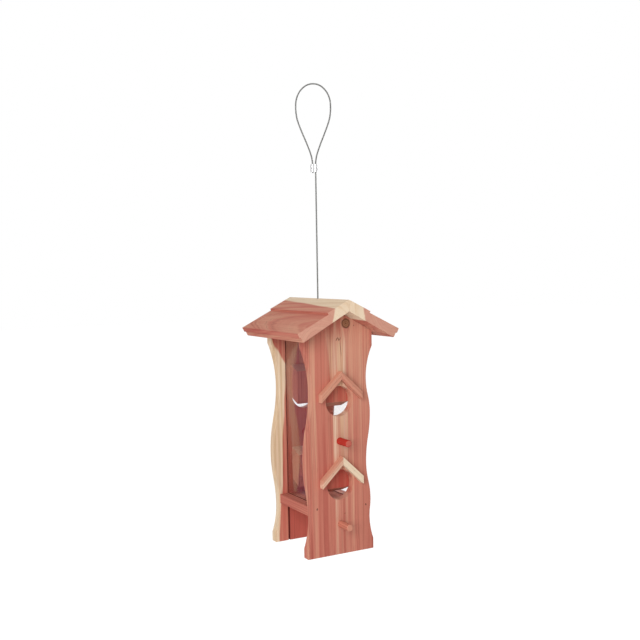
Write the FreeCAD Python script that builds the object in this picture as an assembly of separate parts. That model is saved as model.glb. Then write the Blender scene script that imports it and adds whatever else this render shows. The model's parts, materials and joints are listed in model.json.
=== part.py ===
import FreeCAD, Part
import math
import os

from collections import namedtuple

from FreeCAD import Vector

# Hanging cedar bird feeder. Two wavy panels stand front and rear on a common floor board, clear panes
# slide in saw kerfs between them, and a two-board roof sits on top and slides up the hanging cable.
# Millimetres. While it is drawn, x runs across the panels, y from the front to the rear, and z up from
# the feet. At the end every piece is lowered so that the origin is the top of the loop's inside.

# Wavy panels, both cut to one outline
FEEDER_DEPTH = 142.0        # over the outer faces of the two panels
PANEL_T = 16.0              # panel board thickness
APEX_Z = 435.0              # peak of a panel above its feet
ROOF_SLOPE = 28.5           # degrees, panel tops and the underside of the roof
SHOULDER_X = 70.0           # half width at the shoulders, under the eaves
FOOT_X = 67.5               # half width at the feet

# Left edge, from foot to shoulder: heights and half widths of its turning points
LEFT_FOOT_Z = 17.0
LEFT_LOW_WAIST_Z = 67.0
LEFT_LOW_WAIST_X = 58.5
LEFT_HIP_Z = 169.0
LEFT_HIP_X = 68.0
LEFT_HIGH_WAIST_Z = 293.0
LEFT_HIGH_WAIST_X = 54.2
LEFT_SHOULDER_Z = 373.0

# Right edge, the same way; it sways with a shorter wave
RIGHT_FOOT_Z = 19.0
RIGHT_LOW_WAIST_Z = 61.0
RIGHT_LOW_WAIST_X = 60.3
RIGHT_LOW_HIP_Z = 93.0
RIGHT_LOW_HIP_X = 62.8
RIGHT_MID_WAIST_Z = 159.5
RIGHT_MID_WAIST_X = 54.6
RIGHT_HIGH_HIP_Z = 251.5
RIGHT_HIGH_HIP_X = 64.0
RIGHT_HIGH_WAIST_Z = 312.0
RIGHT_HIGH_WAIST_X = 56.3
RIGHT_SHOULDER_Z = 370.0

# Feeding stations: an upper and a lower one on each panel
HOLE_D = 54.0
UPPER_HOLE_Z = 274.8
STATION_PITCH = 149.3       # lower hole below the upper one

# Little gable over each hole, two mitred strips
GABLE_SLOPE = 43.0          # degrees
GABLE_HALF = 41.8           # half width to the plumb-cut ends
GABLE_T = 10.4              # strip thickness, square to the slope
GABLE_DEPTH = 12.0          # stands out from the panel
UPPER_GABLE_RISE = 53.9     # peak above the hole's centre
LOWER_GABLE_RISE = 51.6

# Perch under each hole
PERCH_D = 12.7
PERCH_DROP = 71.4           # below the hole's centre
PERCH_REACH = 31.0          # beyond the panel's outer face
PERCH_INSIDE = 2.0          # beyond the panel's inner face
PERCH_CHAMFER = 1.0

# Seed baffle behind each hole, sawn on the slant at both ends
BAFFLE_W = 58.0
BAFFLE_T = 26.0
BAFFLE_H = 60.4
BAFFLE_SLANT = 11.0         # both ends drop this far towards the seed
UPPER_BAFFLE_RISE = 56.7    # top front edge above the hole's centre
LOWER_BAFFLE_RISE = 50.5

# Floor board and clear panes
FLOOR_TOP_Z = 90.0
FLOOR_T = 17.0
FLOOR_W = 115.0
PANE_X = 39.5               # middle of a pane from the feeder's middle
PANE_T = 2.8
KERF_SLACK = 0.4            # kerf wider than the pane by this
KERF_DEPTH = 5.0
PANE_END_SLACK = 0.5        # from a pane's edge to the kerf's bottom
PANE_TOP_SLACK = 2.5        # from a pane's top to the roof

# Roof: each board is milled as two lapped courses
ROOF_LENGTH = 222.0
ROOF_RUN = 91.0             # lower eave arris from the ridge, level
ROOF_RIDGE_T = 17.8         # thickness at the ridge, square to the underside
COURSE_TAPER = 2.1          # degrees that a course's face leans off the underside
COURSE_LAP_X = 43.0         # where the upper course ends, level from the ridge
COURSE_LAP_DROP = 3.3       # height of the lap's step
EAVE_LIP_T = 9.0            # upper part of the eave edge
EAVE_LIP_OUT = 2.5          # how far it stands out over the lower part
ROOF_SEAT_GAP = 0.2         # roof to panel tops, square to the slope

# Hanger: rod between the panels, cable, and the crimped ferrules on it
ROD_D = 12.7
ROD_BELOW_APEX = 33.0
ROD_SOCKET = 7.0            # depth of the blind sockets
CABLE_D = 2.8
CABLE_HOLE_D = 6.0          # in the ridge
ROD_HOLE_SLACK = 0.6        # rod's cross hole wider than the cable by this
STOP_FERRULE_D = 7.0
STOP_FERRULE_L = 11.0
CABLE_STRAIGHT = 282.0      # from the rod's middle up to the loop ferrule
LOOP_FERRULE_L = 14.0
FERRULE_WALL = 2.6
STRAND_PITCH = 5.2          # between the two strands in the ferrule
LOOP_TURN = 29.0            # degrees, turn of the loop's plane about z
TAIL_L = 1.5                # cut end below the ferrule

# Places worked out from the sizes above
OUTER_Y = FEEDER_DEPTH / 2
INNER_Y = OUTER_Y - PANEL_T
SLOPE = math.radians(ROOF_SLOPE)
KERF_W = PANE_T + KERF_SLACK
ROD_Z = APEX_Z - ROD_BELOW_APEX
ROOF_UNDER_Z = APEX_Z + ROOF_SEAT_GAP / math.cos(SLOPE)
LOWER_HOLE_Z = UPPER_HOLE_Z - STATION_PITCH
Station = namedtuple("Station", "hole_z peak_z baffle_z")
STATIONS = {
    "upper": Station(UPPER_HOLE_Z, UPPER_HOLE_Z + UPPER_GABLE_RISE, UPPER_HOLE_Z + UPPER_BAFFLE_RISE),
    "lower": Station(LOWER_HOLE_Z, LOWER_HOLE_Z + LOWER_GABLE_RISE, LOWER_HOLE_Z + LOWER_BAFFLE_RISE),
}
FERRULE_FOOT_Z = ROD_Z + CABLE_STRAIGHT
FERRULE_TOP_Z = FERRULE_FOOT_Z + LOOP_FERRULE_L

# One side of the loop, from the ferrule to the top: distance from the loop's middle line, and height
# above the ferrule's top. The other side mirrors it.
LOOP_SIDE = [
    (STRAND_PITCH / 2, 8.0),
    (9.2, 29.6),
    (24.8, 66.6),
    (31.7, 89.1),
    (31.1, 121.7),
    (12.7, 144.0),
]
LOOP_TOP_Z = FERRULE_TOP_Z + LOOP_SIDE[-1][1]
HANG_Z = LOOP_TOP_Z - CABLE_D / 2
STRAIGHT_ENOUGH = 1e-6


def extruded(points, direction):
    """Solid of a closed outline of straight edges, pushed along a direction."""
    return Part.Face(Part.makePolygon(points + points[:1])).extrude(direction)


def rod(diameter, start, end):
    """Round bar between two points."""
    return Part.makeCylinder(diameter / 2, (end - start).Length, start, end - start)


def mirrored_y(shape):
    return shape.mirror(Vector(0, 0, 0), Vector(0, 1, 0))


def mirrored_x(shape):
    return shape.mirror(Vector(0, 0, 0), Vector(1, 0, 0))


def upright_arc(turn, other):
    """Arc from a turning point, where it runs straight up, to another point of the same edge."""
    dx = other.x - turn.x
    dz = other.z - turn.z
    if abs(dx) < STRAIGHT_ENOUGH:
        return Part.LineSegment(turn, other).toShape()
    radius = (dx * dx + dz * dz) / (2 * dx)
    half = math.acos(1 - dx / radius) / 2
    rise = math.copysign(abs(radius) * math.sin(half), dz)
    middle = Vector(turn.x + radius * (1 - math.cos(half)), turn.y, turn.z + rise)
    return Part.Arc(turn, middle, other).toShape()


def wavy_edge(points):
    """Edges of a wavy side: one arc from each end to its waist, two equal arcs between turning points."""
    edges = [upright_arc(points[1], points[0])]
    for low, high in zip(points[1:-2], points[2:-1]):
        middle = (low + high) / 2
        edges.append(upright_arc(low, middle))
        edges.append(upright_arc(high, middle))
    edges.append(upright_arc(points[-2], points[-1]))
    return edges


def panel_blank():
    """Front panel before its holes, from the wavy outline."""
    y = -OUTER_Y
    left = [
        Vector(-FOOT_X, y, LEFT_FOOT_Z),
        Vector(-LEFT_LOW_WAIST_X, y, LEFT_LOW_WAIST_Z),
        Vector(-LEFT_HIP_X, y, LEFT_HIP_Z),
        Vector(-LEFT_HIGH_WAIST_X, y, LEFT_HIGH_WAIST_Z),
        Vector(-SHOULDER_X, y, LEFT_SHOULDER_Z),
    ]
    right = [
        Vector(FOOT_X, y, RIGHT_FOOT_Z),
        Vector(RIGHT_LOW_WAIST_X, y, RIGHT_LOW_WAIST_Z),
        Vector(RIGHT_LOW_HIP_X, y, RIGHT_LOW_HIP_Z),
        Vector(RIGHT_MID_WAIST_X, y, RIGHT_MID_WAIST_Z),
        Vector(RIGHT_HIGH_HIP_X, y, RIGHT_HIGH_HIP_Z),
        Vector(RIGHT_HIGH_WAIST_X, y, RIGHT_HIGH_WAIST_Z),
        Vector(SHOULDER_X, y, RIGHT_SHOULDER_Z),
    ]
    eave_z = APEX_Z - SHOULDER_X * math.tan(SLOPE)
    peak = [Vector(-SHOULDER_X, y, eave_z), Vector(0, y, APEX_Z), Vector(SHOULDER_X, y, eave_z)]
    top = Part.makePolygon([left[-1]] + peak + [right[-1]])
    feet = Part.makePolygon([right[0], Vector(FOOT_X, y, 0), Vector(-FOOT_X, y, 0), left[0]])
    edges = wavy_edge(left) + wavy_edge(right) + top.Edges + feet.Edges
    return Part.Face(Part.Wire(Part.__sortEdges__(edges))).extrude(Vector(0, PANEL_T, 0))


def front_perch(station):
    z = station.hole_z - PERCH_DROP
    tip = Vector(0, -OUTER_Y - PERCH_REACH, z)
    perch = rod(PERCH_D, tip, Vector(0, -INNER_Y + PERCH_INSIDE, z))
    rim = [e for e in perch.Edges if e.isClosed() and abs(e.CenterOfMass.y - tip.y) < STRAIGHT_ENOUGH]
    return perch.makeChamfer(PERCH_CHAMFER, rim)


def hanger_rod():
    reach = INNER_Y + ROD_SOCKET
    bar = rod(ROD_D, Vector(0, -reach, ROD_Z), Vector(0, reach, ROD_Z))
    below = Vector(0, 0, ROD_Z - ROD_D)
    return bar.cut(rod(CABLE_D + ROD_HOLE_SLACK, below, below + Vector(0, 0, 2 * ROD_D)))


def front_panel():
    """Wavy panel with its feeding holes, perch holes, rod socket and pane kerfs."""
    cuts = []
    through = Vector(0, 2 * PANEL_T, 0)
    for station in STATIONS.values():
        start = Vector(0, -OUTER_Y - PANEL_T / 2, station.hole_z)
        cuts.append(rod(HOLE_D, start, start + through))
        start = start - Vector(0, 0, PERCH_DROP)
        cuts.append(rod(PERCH_D, start, start + through))
    socket = Vector(0, -INNER_Y - ROD_SOCKET, ROD_Z)
    cuts.append(rod(ROD_D, socket, socket + through))
    for side in (-1, 1):
        corner = Vector(side * PANE_X - KERF_W / 2, -INNER_Y - KERF_DEPTH, -PANEL_T)
        cuts.append(Part.makeBox(KERF_W, 2 * KERF_DEPTH, APEX_Z + 2 * PANEL_T, corner))
    return panel_blank().cut(cuts)


def front_gable_strip(station):
    """Right-hand strip of the little gable, mitred at the peak and cut plumb at its end."""
    slope = math.radians(GABLE_SLOPE)
    peak = station.peak_z
    drop = GABLE_HALF * math.tan(slope)
    plumb = GABLE_T / math.cos(slope)
    y = -OUTER_Y
    points = [
        Vector(0, y, peak),
        Vector(GABLE_HALF, y, peak - drop),
        Vector(GABLE_HALF, y, peak - drop - plumb),
        Vector(0, y, peak - plumb),
    ]
    return extruded(points, Vector(0, -GABLE_DEPTH, 0))


def front_baffle(station):
    """Block behind a hole: it keeps the seed back and leaves a gap under it to peck through."""
    top = station.baffle_z
    x = -BAFFLE_W / 2
    front = -INNER_Y
    back = front + BAFFLE_T
    points = [
        Vector(x, front, top),
        Vector(x, front, top - BAFFLE_H),
        Vector(x, back, top - BAFFLE_H - BAFFLE_SLANT),
        Vector(x, back, top - BAFFLE_SLANT),
    ]
    return extruded(points, Vector(BAFFLE_W, 0, 0))


def floor_board():
    corner = Vector(-FLOOR_W / 2, -INNER_Y, FLOOR_TOP_Z - FLOOR_T)
    return Part.makeBox(FLOOR_W, 2 * INNER_Y, FLOOR_T, corner)


def left_pane():
    """Clear pane that stands on the floor with its edges in the kerfs."""
    length = 2 * (INNER_Y + KERF_DEPTH - PANE_END_SLACK)
    top = APEX_Z - (PANE_X + PANE_T / 2) * math.tan(SLOPE) - PANE_TOP_SLACK
    corner = Vector(-PANE_X - PANE_T / 2, -length / 2, FLOOR_TOP_Z)
    return Part.makeBox(PANE_T, length, top - FLOOR_TOP_Z, corner)


def right_roof_board():
    """Roof board milled as two lapped courses, mitred at the ridge, with half of the cable's hole."""
    y = -ROOF_LENGTH / 2
    along = Vector(math.cos(SLOPE), 0, -math.sin(SLOPE))
    up = Vector(math.sin(SLOPE), 0, math.cos(SLOPE))
    course = math.tan(SLOPE - math.radians(COURSE_TAPER))
    under_ridge = Vector(0, y, ROOF_UNDER_Z)
    ridge = under_ridge + Vector(0, 0, ROOF_RIDGE_T / math.cos(SLOPE))
    lap = ridge + Vector(COURSE_LAP_X, 0, -COURSE_LAP_X * course)
    lap_foot = lap - up * COURSE_LAP_DROP
    eave_low = under_ridge + along * (ROOF_RUN / math.cos(SLOPE))
    # the eave edge stands square to the underside and meets the lower course
    lip = eave_low + along * EAVE_LIP_OUT
    fall = lip - lap_foot
    edge_rise = (-fall.z - course * fall.x) / (up.z + course * up.x)
    eave_top = lip + up * edge_rise
    lip_under = eave_top - up * EAVE_LIP_T
    rabbet = lip_under - along * EAVE_LIP_OUT
    points = [ridge, lap, lap_foot, eave_top, lip_under, rabbet, eave_low, under_ridge]
    board = extruded(points, Vector(0, ROOF_LENGTH, 0))
    foot = Vector(0, 0, ROOF_UNDER_Z - ROOF_RIDGE_T)
    return board.cut(rod(CABLE_HOLE_D, foot, foot + Vector(0, 0, 4 * ROOF_RIDGE_T)))


def loop_point(across, z):
    """Point of the loop's plane, which is turned about the cable; the standing strand is the middle."""
    turn = math.radians(LOOP_TURN)
    return Vector(across * math.cos(turn), -across * math.sin(turn), z)


def cable_route():
    """Corners of the cable's path: straight up from the stop, round the loop, back into the ferrule."""
    middle = -STRAND_PITCH / 2
    stop_foot = ROD_Z - ROD_D / 2 - STOP_FERRULE_L
    route = [loop_point(0, stop_foot)]
    route += [loop_point(middle + across, FERRULE_TOP_Z + rise) for across, rise in LOOP_SIDE]
    route += [loop_point(middle - across, FERRULE_TOP_Z + rise) for across, rise in reversed(LOOP_SIDE)]
    route.append(loop_point(-STRAND_PITCH, FERRULE_FOOT_Z - TAIL_L))
    return route


def cord_path(route):
    """Straight runs joined by tangent arcs, each as large as its two runs allow."""
    share = 0.45
    edges = []
    start = route[0]
    for before, corner, after in zip(route, route[1:], route[2:]):
        come = corner - before
        leave = after - corner
        reach = share * min(come.Length, leave.Length)
        half_turn = come.getAngle(leave) / 2
        radius = reach / math.tan(half_turn)
        into = corner - come.normalize() * reach
        out = corner + leave.normalize() * reach
        inwards = (into + out) / 2 - corner
        to_centre = math.hypot(radius, reach)
        middle = corner + inwards.normalize() * (to_centre - radius)
        edges.append(Part.LineSegment(start, into).toShape())
        edges.append(Part.Arc(into, middle, out).toShape())
        print("cable bend radius %.1f" % radius)
        start = out
    edges.append(Part.LineSegment(start, route[-1]).toShape())
    return Part.Wire(edges)


def hanger_cable():
    path = cord_path(cable_route())
    start = path.OrderedVertexes[0].Point
    profile = Part.Wire(Part.makeCircle(CABLE_D / 2, start, Vector(0, 0, 1)))
    tube = path.makePipeShell([profile], True, False)
    expected = math.pi * CABLE_D ** 2 / 4 * path.Length
    print("cable length %.1f, volume %.1f, section times length %.1f" % (path.Length, tube.Volume, expected))
    return tube


def loop_ferrule():
    """Crimp sleeve of two barrels grown together, one round each strand."""
    up = Vector(0, 0, LOOP_FERRULE_L)
    standing = loop_point(0, FERRULE_FOOT_Z)
    returning = loop_point(-STRAND_PITCH, FERRULE_FOOT_Z)
    barrel = CABLE_D + 2 * FERRULE_WALL
    sleeve = rod(barrel, standing, standing + up).fuse(rod(barrel, returning, returning + up))
    return sleeve.removeSplitter().cut([rod(CABLE_D, p, p + up) for p in (standing, returning)])


def stop_ferrule():
    """Crimped stop under the rod; the feeder hangs on it."""
    top = Vector(0, 0, ROD_Z - ROD_D / 2)
    foot = top - Vector(0, 0, STOP_FERRULE_L)
    return rod(STOP_FERRULE_D, foot, top).cut(rod(CABLE_D, foot, top))


def all_pieces():
    """Every piece by its name, drawn with the feet at z 0."""
    pieces = {"front_panel": front_panel()}
    for level, station in STATIONS.items():
        strip = front_gable_strip(station)
        pieces["gable_front_%s_right" % level] = strip
        pieces["gable_front_%s_left" % level] = mirrored_x(strip)
        pieces["perch_front_%s" % level] = front_perch(station)
        pieces["baffle_front_%s" % level] = front_baffle(station)
    for name, shape in list(pieces.items()):
        pieces[name.replace("front", "rear")] = mirrored_y(shape)
    pieces["floor_board"] = floor_board()
    pieces["pane_left"] = left_pane()
    pieces["pane_right"] = mirrored_x(left_pane())
    pieces["roof_board_right"] = right_roof_board()
    pieces["roof_board_left"] = mirrored_x(right_roof_board())
    pieces["hanger_rod"] = hanger_rod()
    pieces["hanger_cable"] = hanger_cable()
    pieces["loop_ferrule"] = loop_ferrule()
    pieces["stop_ferrule"] = stop_ferrule()
    return pieces


os.makedirs("parts", exist_ok=True)
for name, shape in all_pieces().items():
    shape.translated(Vector(0, 0, -HANG_Z)).exportStep("parts/%s.step" % name)
print("loop top inside to feet %.1f" % HANG_Z)
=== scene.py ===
import json
import math
from dataclasses import dataclass
from itertools import product

import bpy
from bpy.props import FloatProperty, FloatVectorProperty, IntProperty, PointerProperty
from mathutils import Matrix, Vector


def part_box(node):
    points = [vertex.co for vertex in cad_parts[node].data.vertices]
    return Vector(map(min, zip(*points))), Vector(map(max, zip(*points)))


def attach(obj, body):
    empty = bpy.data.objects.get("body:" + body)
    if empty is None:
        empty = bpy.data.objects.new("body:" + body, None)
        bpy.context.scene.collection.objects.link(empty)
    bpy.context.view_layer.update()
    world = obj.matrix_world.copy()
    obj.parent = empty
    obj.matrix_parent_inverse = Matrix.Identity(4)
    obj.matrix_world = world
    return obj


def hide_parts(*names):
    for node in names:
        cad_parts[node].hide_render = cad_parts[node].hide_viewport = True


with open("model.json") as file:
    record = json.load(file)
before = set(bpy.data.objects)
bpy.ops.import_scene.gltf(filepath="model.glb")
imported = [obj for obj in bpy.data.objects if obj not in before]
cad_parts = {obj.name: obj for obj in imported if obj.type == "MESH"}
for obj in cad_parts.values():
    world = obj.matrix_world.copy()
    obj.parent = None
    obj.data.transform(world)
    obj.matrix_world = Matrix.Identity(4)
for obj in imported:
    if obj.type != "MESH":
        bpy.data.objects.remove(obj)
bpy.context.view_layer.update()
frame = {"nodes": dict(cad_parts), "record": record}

bl_info = {
    "name": "Cedar bird feeder",
    "version": (1, 0, 0),
    "blender": (4, 5, 0),
    "location": "View3D > Sidebar > Feeder",
    "description": "Dresses a hanging cedar bird feeder: boards, pegs, panes, wire rope and stage",
    "category": "Object",
}

# Places are in metres in the part's own frame: its origin is the top of the loop's inside
FEET_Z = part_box("front_panel")[0].z
MM = 0.001
BODIES = frame["record"]["behaviour"]["bodies"]
BODY_OF_NODE = {node: body for body, nodes in BODIES.items() for node in nodes}
SIDES = ("front", "rear")
STATIONS = ("upper", "lower")
HANDS = {"left": -1, "right": 1}
PANES = ("pane_left", "pane_right")
FERRULES = ("loop_ferrule", "stop_ferrule")
GABLE_SLOPE = math.radians(43.0)
ROOF_SLOPE = math.radians(28.5)


def paint(red, green, blue):
    """Linear colour of an sRGB value from 0 to 255."""
    steps = [value / 255 for value in (red, green, blue)]
    return [s / 12.92 if s <= 0.04045 else ((s + 0.055) / 1.055) ** 2.4 for s in steps]


def colour_property(name, description, default):
    return FloatVectorProperty(
        name=name, description=description, subtype="COLOR", size=3, min=0.0, max=1.0, default=default
    )


def length_property(name, description, default):
    return FloatProperty(
        name=name, description=description, subtype="DISTANCE", unit="LENGTH", min=0.0, default=default
    )


class CedarColours(bpy.types.PropertyGroup):
    """Colours of the planed cedar."""

    heart_deep: colour_property("Deep heartwood", "Reddest stripes of the heartwood", paint(178, 96, 83))
    heart_mid: colour_property("Heartwood", "Most of the heartwood", paint(195, 120, 102))
    heart_pale: colour_property("Pale heartwood", "Lightest stripes of the heartwood", paint(208, 150, 125))
    end_grain: colour_property("End grain", "Sawn ends of the heartwood", paint(209, 158, 138))
    peg_red: colour_property("Peg red", "Red cedar of the perches", paint(184, 42, 32))
    sap_pale: colour_property("Pale sapwood", "Lightest sapwood", paint(233, 210, 182))
    sap_tan: colour_property("Tan sapwood", "Darker stripes of the sapwood", paint(219, 187, 151))
    line: colour_property("Grain line", "Late wood and resin lines", paint(126, 60, 48))
    knot: colour_property("Knot", "Wood of a knot", paint(162, 114, 84))
    knot_rim: colour_property("Knot rim", "Dark ring and heart of a knot", paint(88, 50, 38))
    # Painted shade inside a saw kerf
    kerf: colour_property("Kerf", "Shaded inside of a saw kerf", paint(92, 26, 20))


class FeederSizes(bpy.types.PropertyGroup):
    """Sizes of what is shaped by hand on the feeder."""

    arris: length_property("Arris", "How far the boards' arrises are eased", 0.0006)
    fine_arris: length_property("Fine arris", "How far those of pegs, rod and panes are eased", 0.0003)
    ferrule_arris: length_property("Ferrule arris", "How far those of the ferrules are eased", 0.0005)
    strand_lay: length_property("Lay", "Length of one turn of the rope's strands", 0.016)
    strands: IntProperty(
        name="Strands", description="Outer strands of the wire rope", min=3, max=12, default=6
    )


class StageLook(bpy.types.PropertyGroup):
    """Light and floor of the studio."""

    floor: colour_property("Floor", "Colour of the floor", (0.76, 0.76, 0.76))
    fill: FloatProperty(
        name="Fill", description="Strength of the light from all around", min=0.0, default=0.44
    )
    key: FloatProperty(
        name="Key", description="Power of each of the soft lamps", unit="POWER", min=0.0, default=38.0
    )
    floor_drop: length_property("Floor drop", "How far the floor lies below the feet", 0.5)


# Colour sockets of a Mix node
MIX_FIRST, MIX_SECOND, MIX_RESULT = 6, 7, 2


class NodeNet:
    """Node tree of a material, a group or the world, with short ways to add its nodes."""

    def __init__(self, tree):
        self.tree = tree
        tree.nodes.clear()

    def add(self, kind, inputs=None, **settings):
        """New node with these settings, and with values or links for inputs by name or number."""
        node = self.tree.nodes.new(kind)
        for name, value in settings.items():
            setattr(node, name, value)
        for name, value in (inputs or {}).items():
            self.plug(node.inputs[name], value)
        return node

    def plug(self, socket, value):
        if isinstance(value, bpy.types.NodeSocket):
            self.tree.links.new(value, socket)
        elif value is not None:
            if socket.type == "RGBA" and len(value) == 3:
                value = (*value, 1.0)
            socket.default_value = value

    def math(self, operation, *values, clamp=False):
        node = self.add("ShaderNodeMath", dict(enumerate(values)), operation=operation, use_clamp=clamp)
        return node.outputs[0]

    def plus(self, first, second):
        return self.math("ADD", first, second)

    def minus(self, first, second, **options):
        return self.math("SUBTRACT", first, second, **options)

    def times(self, first, second, added=0.0, **options):
        """Product of two values, with a third added to it."""
        return self.math("MULTIPLY_ADD", first, second, added, **options)

    def vector(self, operation, *values):
        node = self.add("ShaderNodeVectorMath", dict(enumerate(values)), operation=operation)
        return node.outputs["Value" if operation in ("DOT_PRODUCT", "LENGTH") else "Vector"]

    def apart(self, vector):
        return self.add("ShaderNodeSeparateXYZ", {0: vector}).outputs

    def together(self, x, y, z):
        return self.add("ShaderNodeCombineXYZ", {0: x, 1: y, 2: z}).outputs[0]

    def noise(self, vector, detail=2.0, roughness=0.5, colour=False):
        inputs = {"Vector": vector, "Scale": 1.0, "Detail": detail, "Roughness": roughness}
        node = self.add("ShaderNodeTexNoise", inputs, noise_dimensions="3D")
        return node.outputs["Color" if colour else "Fac"]

    def drawn_noise(self, place, reach, **options):
        """Noise whose lumps have a reach across, through and along the grain."""
        return self.noise(self.vector("MULTIPLY", place, [1 / size for size in reach]), **options)

    def centred(self, noise):
        """Noise that swings to both sides of zero."""
        return self.minus(noise, 0.5)

    def mix(self, factor, first, second):
        inputs = {"Factor": factor, MIX_FIRST: first, MIX_SECOND: second}
        return self.add("ShaderNodeMix", inputs, data_type="RGBA").outputs[MIX_RESULT]

    def span(self, value, low, high, to_low=0.0, to_high=1.0):
        """Smooth step of a value from low to high."""
        inputs = dict(enumerate((value, low, high, to_low, to_high)))
        return self.add("ShaderNodeMapRange", inputs, interpolation_type="SMOOTHSTEP").outputs[0]

    def show(self, shader, kind="ShaderNodeOutputMaterial"):
        """Makes a shader the surface that is seen."""
        self.add(kind, {"Surface": shader.outputs[0]})


def new_material(name):
    """A new material and the empty net of its nodes."""
    material = bpy.data.materials.new(name)
    material.use_nodes = True
    return material, NodeNet(material.node_tree)


# Reach of the grain's features in mm: across the board, through it and along it
BENDS = (60, 60, 420)
WOBBLES = (7, 7, 120)
CLOUDS = (26, 26, 210)
LINES = (3.0, 3.0, 190)
FIBRES = (0.8, 0.8, 30)
FLECKS = (1.5, 1.5, 22)
RIPPLES = (11, 11, 150)

# Sizes of the year rings and stripes in mm, except that growth is in years
BEND = 14.0
WOBBLE = 3.4
GROWTH = 4.0
GROWTH_REACH = 9.0
YEAR_LENGTH = 300.0
BAND_WIDTH = 6.4
BAND_LENGTH = 900.0
RIPPLE = 16.0

# How far each feature changes the wood's tone or darkens it, as a share
YEAR_STEP = 0.37
LATE_WOOD = (0.5, 0.98)
YEAR_STRENGTH = (0.3, 0.7, 0.3, 1.3)
BAND_GROWTH = 0.42
BAND_TONE = 0.9
CLOUD_TONE = 0.28
DEEP_TO_MID = (0.30, 0.50)
MID_TO_PALE = (0.50, 0.70)
TAN_TO_PALE = (0.38, 0.62)
LATE_SHADE = 0.32
LATE_SHADE_LOST_IN_SAP = 0.18
FLECK_EDGE = (0.64, 0.74)
FLECK_SHADE = 0.12
FIBRE_SHADE = 0.34
LINE_SHADE = 0.7
END_FADE = 0.5

# Planed face and sawn end
ROUGHNESS = 0.64
FIBRE_ROUGHNESS = 0.2
END_ROUGHNESS = 0.12
LATE_HEIGHT = 0.35
BUMP_STRENGTH = 0.35
BUMP_DEPTH = 0.0003
WOOD_SPECULAR = 0.14
END_TURN = (0.6, 0.9)

# Sockets of the cedar node group
GRAIN_VECTORS = ("Place", "Pith", "Seed")
GRAIN_NUMBERS = ("Lean", "Ring", "Sapwood", "Tone", "Figure", "Red", "End", "Pale ends")
GRAIN_RESULTS = {"Colour": "NodeSocketColor", "Roughness": "NodeSocketFloat", "Height": "NodeSocketFloat"}


def year_rings(net, given, seeded):
    """Late wood of the rings, the distance from the pith, the uneven growth and the place along the board."""
    bend = net.drawn_noise(seeded, BENDS, colour=True)
    bend = net.vector("SUBTRACT", bend, (0.5, 0.5, 0.5))
    bent = net.vector("ADD", given["Place"], net.vector("MULTIPLY", bend, (BEND, BEND, 0.0)))
    u, v, w = net.apart(net.vector("SUBTRACT", bent, given["Pith"]))
    v = net.times(w, given["Lean"], v)
    squares = net.plus(net.times(u, u), net.times(v, v))
    wobble = net.centred(net.drawn_noise(seeded, WOBBLES, detail=3.0))
    radius = net.times(wobble, WOBBLE, net.math("SQRT", squares))
    growth = net.together(net.math("DIVIDE", radius, GROWTH_REACH), 0.0, 0.0)
    growth = net.noise(net.vector("ADD", growth, given["Seed"]))
    growth = net.times(net.centred(growth), GROWTH)
    years = net.plus(net.math("DIVIDE", radius, given["Ring"]), growth)
    late = net.span(net.math("FRACT", years), *LATE_WOOD)
    count = net.times(net.math("FLOOR", years), YEAR_STEP)
    year = net.together(count, 0.0, net.math("DIVIDE", w, YEAR_LENGTH))
    strength = net.noise(net.vector("ADD", year, given["Seed"]))
    late = net.times(late, net.span(strength, *YEAR_STRENGTH))
    return late, radius, growth, w


def away_from_ends(net, given):
    """1 on the faces and less on the sawn ends."""
    return net.times(given["End"], -END_FADE, 1.0)


def wood_colour(net, given, seeded, radius, growth, w, colours):
    """Heartwood and sapwood in stripes some millimetres wide, redder or paler."""
    band = net.times(growth, BAND_GROWTH, net.math("DIVIDE", radius, BAND_WIDTH))
    band = net.together(band, 0.0, net.math("DIVIDE", w, BAND_LENGTH))
    band = net.noise(net.vector("ADD", band, given["Seed"]), detail=3.0, roughness=0.65)
    cloud = net.centred(net.drawn_noise(seeded, CLOUDS))
    tone = net.times(net.centred(band), net.times(given["Figure"], BAND_TONE))
    tone = net.times(cloud, CLOUD_TONE, tone)
    tone = net.plus(net.plus(tone, 0.5), given["Tone"])
    heart = net.mix(net.span(tone, *DEEP_TO_MID), colours.heart_deep, colours.heart_mid)
    heart = net.mix(net.span(tone, *MID_TO_PALE), heart, colours.heart_pale)
    red = net.times(given["Red"], away_from_ends(net, given))
    heart = net.mix(red, heart, colours.peg_red)
    heart = net.mix(net.times(given["End"], given["Pale ends"]), heart, colours.end_grain)
    sap = net.mix(net.span(tone, *TAN_TO_PALE), colours.sap_tan, colours.sap_pale)
    return net.mix(given["Sapwood"], heart, sap)


def dark_share(net, given, seeded, late, fibre):
    """How far late wood, resin flecks, fibres and fine lines darken the wood."""
    fleck = net.span(net.drawn_noise(seeded, FLECKS, detail=1.0), *FLECK_EDGE)
    lines = net.minus(0.5, net.drawn_noise(seeded, LINES))
    strong = net.times(given["Sapwood"], -LATE_SHADE_LOST_IN_SAP, LATE_SHADE)
    shade = net.times(net.times(late, strong), given["Figure"])
    shade = net.times(fleck, FLECK_SHADE, shade)
    shade = net.times(net.minus(0.5, fibre), FIBRE_SHADE, shade)
    shade = net.times(net.times(lines, given["Figure"]), LINE_SHADE, shade)
    return net.times(shade, away_from_ends(net, given), clamp=True)


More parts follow.
